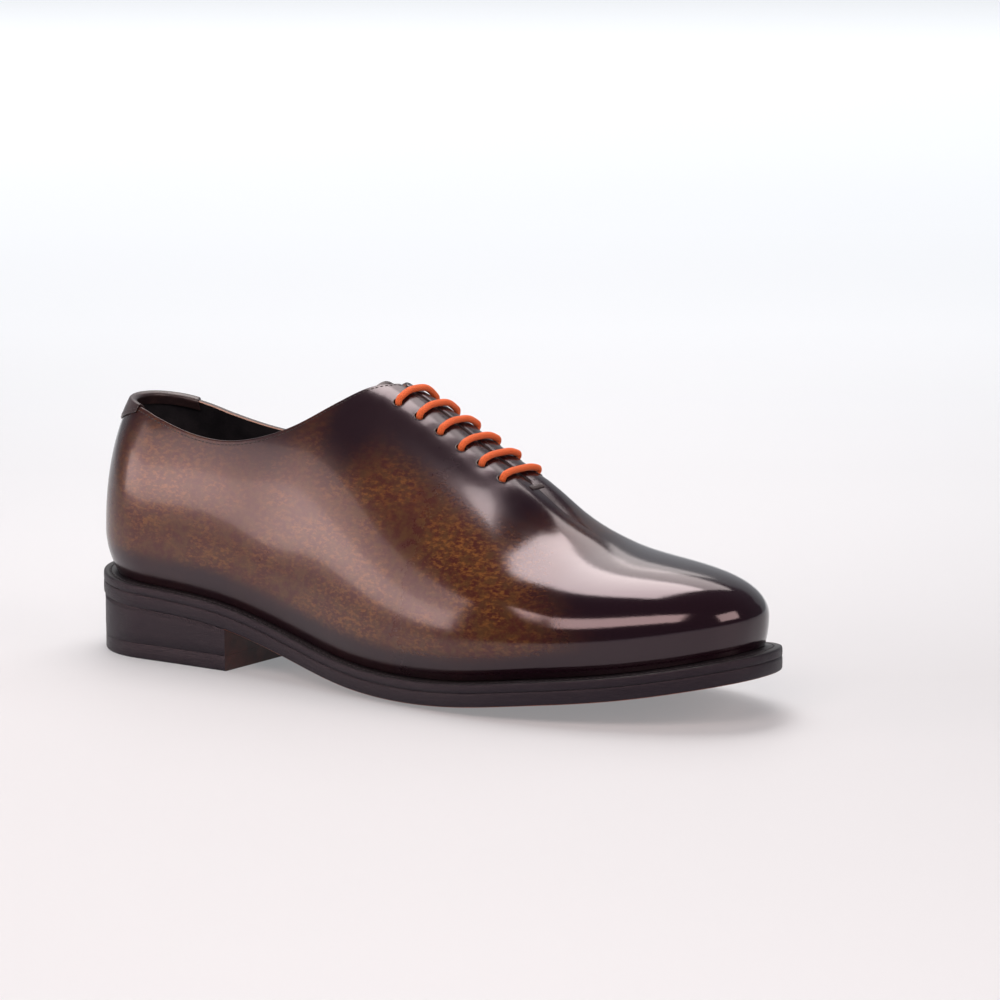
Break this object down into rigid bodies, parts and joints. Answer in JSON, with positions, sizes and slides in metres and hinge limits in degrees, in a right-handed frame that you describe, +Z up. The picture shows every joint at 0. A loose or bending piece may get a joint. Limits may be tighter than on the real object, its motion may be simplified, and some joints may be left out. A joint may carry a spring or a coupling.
{
  "type": "whole cut oxford",
  "caption": "Whole cut oxford shoe for the right foot: one-piece laced leather upper on a welted leather sole with a stacked heel.",
  "frame": {"origin": "on the floor, under the middle of the shoe's box", "axes": "+X towards the toe, +Y towards the inner side of the right foot, +Z up"},
  "size_m": [0.3048, 0.1048, 0.1167],
  "materials": {
    "polished_calf": "high polish over brown patina",
    "dark_calf": "satin",
    "lining": "matte black lining",
    "dyed_edge": "dyed and waxed edge",
    "top_piece_rubber": "satin",
    "lace_cord": "waxed woven cord"
  },
  "bodies": {
    "root": {"upper": "polished_calf", "heel_tab": "dark_calf", "tongue": "dark_calf", "insole": "lining", "welt": "dyed_edge", "outsole": "dyed_edge", "heel_stack": "dyed_edge", "top_piece": "top_piece_rubber", "lace": "lace_cord"}
  },
  "joints": []
}
